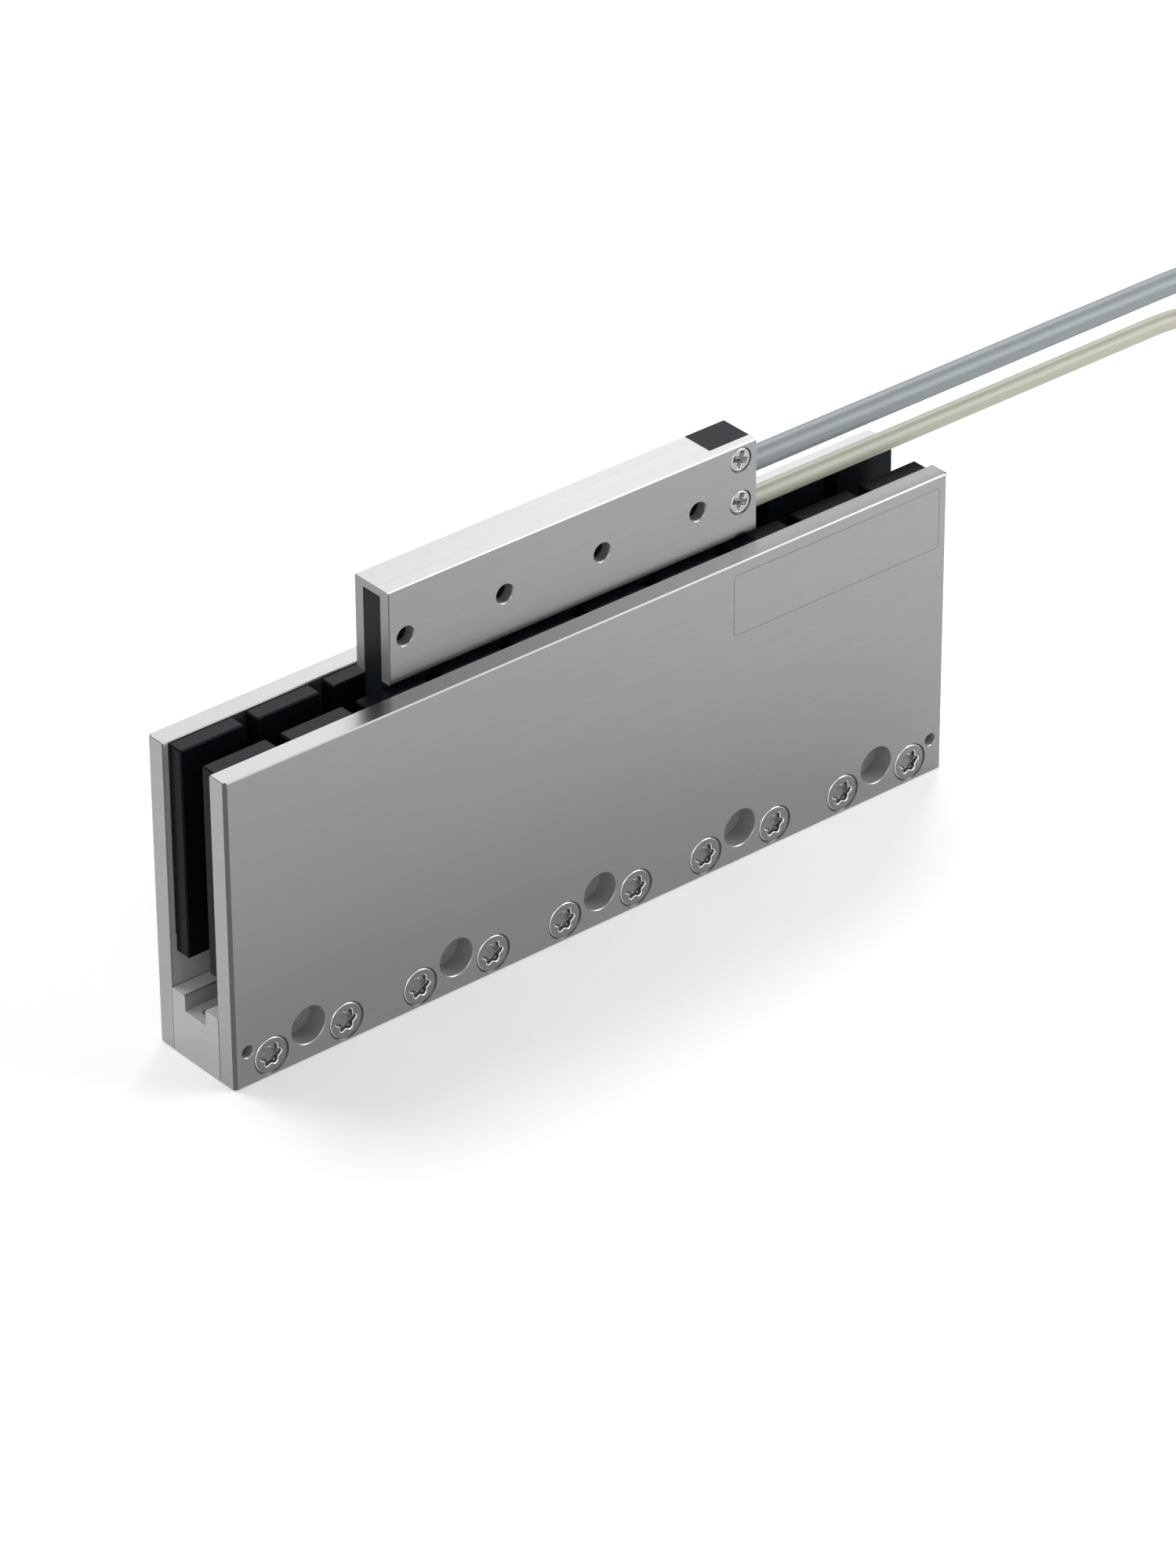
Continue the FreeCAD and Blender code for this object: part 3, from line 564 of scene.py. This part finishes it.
# The finish of the CAD nodes that are shown, by a word in their names
NODE_MATERIALS = {
    "side_plate": plate_steel,
    "spacer_bar": spacer_steel,
    "magnet": magnet_coat,
    "coil_housing": housing_metal,
    "cable_block": block_plastic,
    "blade": blade_epoxy,
    "coil_former": blade_epoxy,
    "coil_winding": copper_wire,
    "terminal_board": board_green,
    "temperature_sensor": block_plastic,
}
for name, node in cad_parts.items():
    for word, material in NODE_MATERIALS.items():
        if word in name:
            node.data.materials.clear()
            node.data.materials.append(material)


def turned_mesh(name, angles, rings, steel, recess):
    """A screw turned round the Y axis, its bevelled edges polished and painted much paler as a highlight.

    A ring is a radius, or a function of the angle, and a depth along Y.
    """
    bm = bmesh.new()
    rows = []
    for radius, depth in rings:
        row = []
        for angle in angles:
            r = radius(angle) if callable(radius) else radius
            row.append(bm.verts.new((r * math.cos(angle), depth, r * math.sin(angle))))
        rows.append(row)
    join_rings(bm, rows)
    for row in (rows[0], rows[-1]):
        middle = bm.verts.new((0, row[0].co.y, 0))
        for k in range(len(angles)):
            bm.faces.new((row[k - 1], row[k], middle))
    bm.normal_update()
    # Faces of the bevelled edges get the pale steel of a painted highlight; the recess gets its own material,
    # for the cross screw a darker steel as painted shade
    low, high = EDGE_SLOPES
    for face in bm.faces:
        middle = face.calc_center_median()
        if low < abs(face.normal.y) < high and middle.y < EDGE_DEPTH:
            face.material_index = 1
        if math.hypot(middle.x, middle.z) < CROSS_REACH and RECESS_TOP < middle.y < CROSS_DEPTH:
            face.material_index = 2
    return mesh_from(name, bm, [steel, screw_edge_highlight, recess])


def head_and_shank(head, rim, radius, length):
    """The rings of a countersunk screw from its rounded rim to the end of its shank."""
    head -= HEAD_ROOM * rim
    rings = []
    for k in range(RIM_STEPS + 1):
        a = k / RIM_STEPS * math.pi / 2
        rings.append((head - rim * (1 - math.sin(a)), rim * (1 - math.cos(a))))
    tip = radius / 4
    rings += [(radius, rim + head - radius), (radius, length - tip), (radius - tip, length)]
    return rings


def six_lobe(angle, grown=0.0):
    """The radius of the six-lobe socket at an angle."""
    middle, swing = (SOCKET_OUTER + SOCKET_INNER) / 2, (SOCKET_OUTER - SOCKET_INNER) / 2
    return middle + swing * math.cos(SOCKET_LOBES * angle) + grown


def six_lobe_screw():
    """The screw of the side plates, with its head's face at the origin."""
    angles = [math.tau * k / PLATE_SCREW_STEPS for k in range(PLATE_SCREW_STEPS)]
    rings = [
        (SOCKET_TIP, SOCKET_DEPTH + SOCKET_CONE),
        (lambda a: six_lobe(a, -SOCKET_FILLET), SOCKET_DEPTH),
        (six_lobe, SOCKET_DEPTH - SOCKET_FILLET),
        (six_lobe, SOCKET_BEVEL),
        (lambda a: six_lobe(a, INNER_BEVEL), INNER_BEVEL),
        (lambda a: six_lobe(a, SOCKET_BEVEL), 0.0),
    ]
    rings += head_and_shank(PLATE_SCREW_HEAD, PLATE_SCREW_RIM, PLATE_SCREW_RADIUS, PLATE_SCREW_LENGTH)
    return turned_mesh("six_lobe_screw", angles, rings, screw_steel, screw_steel)


def cross(angle, reach, width):
    """The radius of a cross recess at an angle."""
    off = (angle - CROSS_TURN + math.pi / 4) % (math.pi / 2) - math.pi / 4
    end = reach / math.cos(off)
    side = width / 2 / max(abs(math.sin(off)), 1e-6)
    return min(end, side)


def cross_screw():
    """The screw of the cable block, with its head's face at the origin."""
    ends = ((CROSS_WIDTH, CROSS_REACH), (CROSS_BOTTOM_WIDTH, CROSS_BOTTOM_REACH))
    corners = [math.atan2(width / 2, reach) for width, reach in ends]
    extra = [math.radians(degrees) for degrees in CROSS_EXTRA_ANGLES]
    offsets = sorted([-c for c in corners] + [0.0] + corners + extra)
    angles = [CROSS_TURN + quarter * math.pi / 2 + off for quarter in range(4) for off in offsets]
    rings = [
        (lambda a: 0.5 * cross(a, CROSS_BOTTOM_REACH, CROSS_BOTTOM_WIDTH), CROSS_DEPTH + CROSS_CONE),
        (lambda a: cross(a, CROSS_BOTTOM_REACH, CROSS_BOTTOM_WIDTH), CROSS_DEPTH),
        (lambda a: cross(a, CROSS_REACH, CROSS_WIDTH), CROSS_BEVEL),
        (lambda a: cross(a, CROSS_REACH + CROSS_BEVEL, CROSS_WIDTH + 2 * CROSS_BEVEL), 0.0),
    ]
    rings += head_and_shank(BLOCK_SCREW_HEAD, BLOCK_SCREW_RIM, BLOCK_SCREW_RADIUS, BLOCK_SCREW_LENGTH)
    return turned_mesh("cross_screw", angles, rings, pale_screw_steel, shaded_recess_steel)


def add_screws():
    """Every screw, each in its countersunk hole."""
    mesh = six_lobe_screw()
    middle = (YOKE_LOW.x + YOKE_HIGH.x) / 2
    for row, face, inward in (("front", YOKE_LOW.y, 1), ("rear", YOKE_HIGH.y, -1)):
        for k in range(PLATE_SCREW_COUNT):
            screw = add_object(f"{row}_plate_screw_{k + 1:02d}", mesh)
            x = middle + (k - (PLATE_SCREW_COUNT - 1) / 2) * MAGNET_PITCH
            screw.location = (x, face + inward * SCREW_SINK, PLATE_SCREW_HEIGHT)
            screw.rotation_euler.z = 0 if inward > 0 else math.pi
            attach(screw, "magnet_yoke")
            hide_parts(f"{row}_plate_screws")
    mesh = cross_screw()
    for k in range(BLOCK_SCREW_COUNT):
        screw = add_object(f"cable_block_screw_{k + 1}", mesh)
        screw.location = (BLOCK_SCREW_X, HOUSING_LOW.y + SCREW_SINK, BLOCK_SCREW_TOP - k * BLOCK_SCREW_PITCH)
        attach(screw, "coil_unit")
        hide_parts("cable_block_screws")


def rounded_outline(x0, x1, z0, z1, radius, steps=6):
    """The corners of an upright rectangle with rounded corners, as (x, z) places."""
    left, right, bottom, top = x0 + radius, x1 - radius, z0 + radius, z1 - radius
    outline = []
    for quarter, (x, z) in enumerate(((right, top), (left, top), (left, bottom), (right, bottom))):
        for k in range(steps + 1):
            a = (quarter + k / steps) * math.pi / 2
            outline.append((x + radius * math.cos(a), z + radius * math.sin(a)))
    return outline


def add_film():
    """The clear film on the front plate, with a thin sloping edge."""
    bm = bmesh.new()
    rows = []
    for inset, out in ((0.0, FILM_GAP), (0.0, FILM_SIDE), (FILM_EDGE, FILM_THICKNESS)):
        sides = (FILM_LEFT + inset, FILM_RIGHT - inset, FILM_BOTTOM + inset, FILM_TOP - inset)
        outline = rounded_outline(*sides, FILM_CORNER - inset)
        rows.append([bm.verts.new((x, YOKE_LOW.y - out, z)) for x, z in outline])
    for face in join_rings(bm, rows):
        face.material_index = 1
    bm.faces.new(rows[-1])
    bm.faces.new(rows[0])
    film = add_object("clear_film", mesh_from("clear_film", bm, [film_clear, film_edge], 10))
    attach(film, "magnet_yoke")


def ease(t):
    """0 to 1 with a soft start and end."""
    t = min(1.0, max(0.0, t))
    return t * t * (3 - 2 * t)


def hank_points(bottom, entry, turn_height):
    """Control points of a cable's oblong turns, from the end of the lead to the cable's end."""
    step = math.pi / HANK_STEPS
    reach = HANK_RADIUS / math.cos(step / 2)
    inset = HANK_RADIUS * math.tan(step / 2)
    near, far = HANK_START + HANK_LEAD, HANK_START + HANK_LEAD + HANK_STRAIGHT
    middle = (near + far) / 2
    points = []
    for turn in range(HANK_LAYERS):
        z = bottom + (turn + 0.5) * turn_height
        side = entry * HANK_RADIUS
        points += [(near + inset, side, z), (middle, side, z), (far - inset, side, z)]
        for k in range(HANK_STEPS):
            angle = (k + 0.5) * step
            points.append((far + reach * math.sin(angle), entry * reach * math.cos(angle), z))
        points.append((far - inset, -side, z))
        if turn == HANK_LAYERS - 1:
            points.append((HANK_END, -side, z))
            break
        points += [(middle, -side, z), (near + inset, -side, z)]
        for k in range(HANK_STEPS):
            angle = (k + 0.5) * step
            rise = turn_height * ease((k + 1) / (HANK_STEPS - 1))
            points.append((near - reach * math.sin(angle), -entry * reach * math.cos(angle), z + rise))
    return points


def round_curve(name, diameter, materials):
    """An empty curve whose splines get a round section."""
    data = bpy.data.curves.new(name, "CURVE")
    data.dimensions = "3D"
    data.bevel_depth = diameter / 2
    data.bevel_resolution = 8
    data.resolution_u = 10
    data.use_fill_caps = True
    for material in materials:
        data.materials.append(material)
    return add_object(name, data)


def add_spline(curve, points, material_index=0):
    """One smooth spline of a curve, with these control points."""
    spline = curve.data.splines.new("NURBS")
    spline.points.add(len(points) - 1)
    for place, point in zip(spline.points, points):
        place.co = (*point, 1.0)
    spline.order_u = 3
    spline.use_endpoint_u = True
    spline.material_index = material_index


def add_cores(cable, bottom, entry, diameter, core_diameter):
    """The stripped conductors at a cable's end, a little splayed, with tinned tips."""
    y, z = -entry * HANK_RADIUS, bottom + (HANK_LAYERS - 0.5) * (diameter + TURN_ROOM)
    spread = (diameter / 2 - JACKET_WALL - core_diameter / 2) / math.sqrt(2)
    cores = round_curve(f"{cable}_cores", core_diameter, core_jackets)
    tips = round_curve(f"{cable}_core_tips", TIP_DIAMETER * core_diameter, [tinned_copper])
    for k in range(CORE_COUNT):
        dy, dz = (-1 if k < 2 else 1), (-1 if k % 2 else 1)
        splay = CORE_SPLAY * (1 + CORE_SPLAY_GROWTH * k)
        points = []
        for along, out in CORE_STOPS:
            side = spread + splay * out
            points.append((HANK_END - along, y + dy * side, z + dz * (side - CORE_DROP * k)))
        add_spline(cores, points, k)
        end, before = Vector(points[-1]), Vector(points[-2])
        ahead = (end - before).normalized()
        stop = end + ahead * TIP_LENGTH
        add_spline(tips, [end - ahead * MM, (end + stop) / 2, stop])
    for piece in (cores, tips):
        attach(piece, "coil_unit")
        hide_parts(f"{cable}_cable_cores")
    return [cores, tips]


def add_strap():
    """The hook and loop strap: a band whose end lies over its start."""
    half = POWER_DIAMETER / 2 + STRAP_ROOM
    low, high = STRAP_THICKNESS, POWER_HANK_BOTTOM + HANK_LAYERS * (POWER_DIAMETER + TURN_ROOM) + STRAP_ROOM
    loop = rounded_outline(-half, half, low, high, half, STRAP_CORNER_STEPS)
    loop = loop[-1:] + loop[:-1]
    loop.append(loop[0])
    reach = (high - low - 2 * half) * STRAP_OVERLAP
    overlap = [(half, low + half + reach * t) for t in STRAP_OVERLAP_STOPS]
    lifts = [0.0] * len(loop) + [1.0] * len(overlap)
    lifts[-len(overlap) - 1] = 0.5
    path = [Vector((x, z)) for x, z in loop + overlap]
    bm = bmesh.new()
    rows = []
    for k, point in enumerate(path):
        ahead = (path[min(k + 1, len(path) - 1)] - path[max(k - 1, 0)]).normalized()
        outward = Vector((ahead.y, -ahead.x))
        row = []
        for across, up in STRAP_SECTION:
            place = point + outward * STRAP_THICKNESS * (up + STRAP_LIFT * lifts[k])
            row.append(bm.verts.new((HANK_END + across * STRAP_WIDTH, place.x - HANK_RADIUS, place.y)))
        rows.append(row)
    join_rings(bm, rows)
    bm.faces.new(rows[0])
    bm.faces.new(rows[-1])
    strap = add_object("hank_strap", mesh_from("hank_strap", bm, [strap_fabric], 50))
    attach(strap, "coil_unit")
    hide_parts("hank_tie")
    return strap


def add_cable(name, bottom, entry, diameter, route, length, jacket, pieces):
    """One free cable from the block to its bare end, with its put-away turns."""
    cable = round_curve(f"{name}_cord", diameter, [jacket])
    add_spline(cable, route + hank_points(bottom, entry, diameter + TURN_ROOM))
    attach(cable, "coil_unit")
    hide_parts(f"{name}_cable", f"{name}_cable_hank")


def add_cables():
    """Both cables, their bare cores and the strap round their hanks."""
    power = ("power", POWER_HANK_BOTTOM, 1, POWER_DIAMETER)
    sensor = ("sensor", SENSOR_HANK_BOTTOM, -1, SENSOR_DIAMETER)
    add_cable(*power, POWER_ROUTE, POWER_LENGTH, power_jacket, add_cores(*power, POWER_CORE) + [add_strap()])
    add_cable(*sensor, SENSOR_ROUTE, SENSOR_LENGTH, sensor_jacket, add_cores(*sensor, SENSOR_CORE))


def seen_rays(tree):
    """1 for rays of the camera, of reflections and of clear things, and 0 for light that is scattered."""
    rays = tree.nodes.new("ShaderNodeLightPath")
    sharp = combined(tree, "MAXIMUM", rays.outputs["Is Camera Ray"], rays.outputs["Is Glossy Ray"])
    return combined(tree, "MAXIMUM", sharp, rays.outputs["Is Transmission Ray"])


def add_floor():
    """A plain white floor that keeps the object's soft shadow."""
    half = FLOOR_HALF
    mesh = bpy.data.meshes.new("floor")
    corners = [(-half, -half, 0), (half, -half, 0), (half, half, 0), (-half, half, 0)]
    mesh.from_pydata(corners, [], [(0, 1, 2, 3)])
    floor = add_object("floor", mesh)
    white = (1.0, 1.0, 1.0)
    material, tree, shader = new_material("floor_paint", white, roughness=0.9, specular=0.0)
    seen = seen_rays(tree)
    tree.links.new(tinted(tree, switched(tree, seen, FLOOR_SCATTER, 1.0), white), shader.inputs["Base Color"])
    tree.links.new(combined(tree, "MULTIPLY", seen, FLOOR_GLOW), shader.inputs["Emission Strength"])
    mesh.materials.append(material)
    floor.location.z = -FLOOR_DROP


def add_light(name, place, size, brightness):
    """A soft light that looks at the object; its brightness is what a mirror would show, with white as 1."""
    data = bpy.data.lights.new(name, "AREA")
    data.shape = "RECTANGLE"
    data.size, data.size_y = size
    data.energy = brightness * math.pi * size[0] * size[1]
    light = add_object(name, data)
    light.location = place
    light.rotation_mode = "QUATERNION"
    light.rotation_quaternion = (LIGHT_TARGET - Vector(place)).to_track_quat("-Z", "Y")


def add_world(strength):
    """An even pale sky that the camera and reflections see as white."""
    world = bpy.data.worlds.new("studio")
    world.use_nodes = True
    tree = world.node_tree
    background = tree.nodes["Background"]
    background.inputs["Color"].default_value = (1.0, 1.0, 1.0, 1.0)
    tree.links.new(switched(tree, seen_rays(tree), strength, 1.0), background.inputs["Strength"])
    bpy.context.scene.world = world


def add_camera():
    """The camera at the photograph's place and angle."""
    data = bpy.data.cameras.new("camera")
    data.lens = CAMERA_LENS
    data.sensor_width = CAMERA_SENSOR
    data.clip_start, data.clip_end = CAMERA_CLIP
    camera = add_object("camera", data)
    camera.location = CAMERA_PLACE
    camera.rotation_mode = "QUATERNION"
    camera.rotation_quaternion = Quaternion(CAMERA_TURN)
    bpy.context.scene.camera = camera


add_screws()
add_film()
add_cables()
add_floor()
add_world(SKY_LIGHT)
for name, light in LIGHTS.items():
    add_light(name, *light)
add_camera()
bpy.context.scene.view_settings.view_transform = "Standard"
